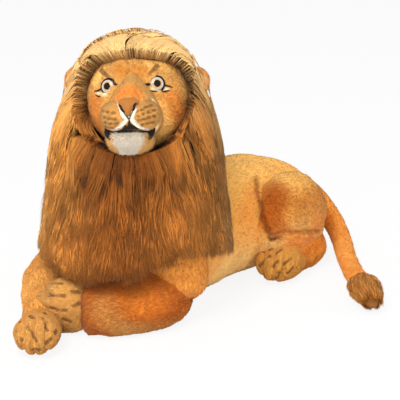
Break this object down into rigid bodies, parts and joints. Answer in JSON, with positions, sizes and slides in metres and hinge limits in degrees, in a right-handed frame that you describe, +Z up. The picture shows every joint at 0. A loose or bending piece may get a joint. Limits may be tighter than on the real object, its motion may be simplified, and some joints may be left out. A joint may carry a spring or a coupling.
{
  "type": "plush lion",
  "caption": "Large stuffed plush lion lying on its belly with crossed front paws, a full long-fur mane, a turned head with plastic eyes, fold-down ears and a tufted tail that swings.",
  "frame": {"origin": "on the floor, at the middle of the torso's length and width, where the belly rests", "axes": "+X from the chest to the rump, +Y to the toy's right flank, +Z up"},
  "size_m": [0.7138, 0.4864, 0.4456],
  "materials": {
    "gold_plush": "short pile",
    "pale_plush": "short pile",
    "long_fur": "long pile",
    "white_fur": "medium pile",
    "nose_felt": "velvet",
    "black_felt": "felt",
    "eye_plastic": "glossy",
    "washer_plastic": "satin"
  },
  "bodies": {
    "lion": {"torso": "gold_plush", "neck": "gold_plush", "haunch_left": "gold_plush", "haunch_right": "gold_plush", "upper_arm_left": "gold_plush", "upper_arm_right": "gold_plush", "forearm_left": "gold_plush", "forearm_right": "gold_plush", "head": "gold_plush", "hind_leg_left": "pale_plush", "hind_leg_right": "pale_plush", "hind_paw_left": "pale_plush", "hind_paw_right": "pale_plush", "front_paw_left": "pale_plush", "front_paw_right": "pale_plush", "muzzle": "pale_plush", "whisker_pad_left": "pale_plush", "whisker_pad_right": "pale_plush", "mane_bib": "long_fur", "mane_left": "long_fur", "mane_right": "long_fur", "mane_nape": "long_fur", "mane_crown": "long_fur", "chin_tuft": "white_fur", "nose": "nose_felt", "mouth_lining": "black_felt", "eye_left": "eye_plastic", "eye_right": "eye_plastic", "eye_washer_left": "washer_plastic", "eye_washer_right": "washer_plastic"},
    "tail": {"tail": "gold_plush", "tail_tuft": "long_fur"},
    "ear_left": {"ear_left": "pale_plush"},
    "ear_right": {"ear_right": "pale_plush"}
  },
  "joints": [
    {"name": "tail_swing", "type": "hinge", "parent": "lion", "child": "tail", "pos_m": [0.23377, 0, 0.1014], "axis": [0, 0, 1], "range_deg": [0, 50]},
    {"name": "ear_left_fold", "type": "hinge", "parent": "lion", "child": "ear_left", "pos_m": [-0.11772, -0.07787, 0.36787], "axis": [0.0339, 0.3471, 0.9372], "range_deg": [-20, 20], "stiffness_Nm_per_rad": 0.02},
    {"name": "ear_right_fold", "type": "hinge", "parent": "lion", "child": "ear_right", "pos_m": [-0.21921, 0.05876, 0.3666], "axis": [0.2851, 0.0164, 0.9583], "range_deg": [-20, 20], "stiffness_Nm_per_rad": 0.02}
  ]
}
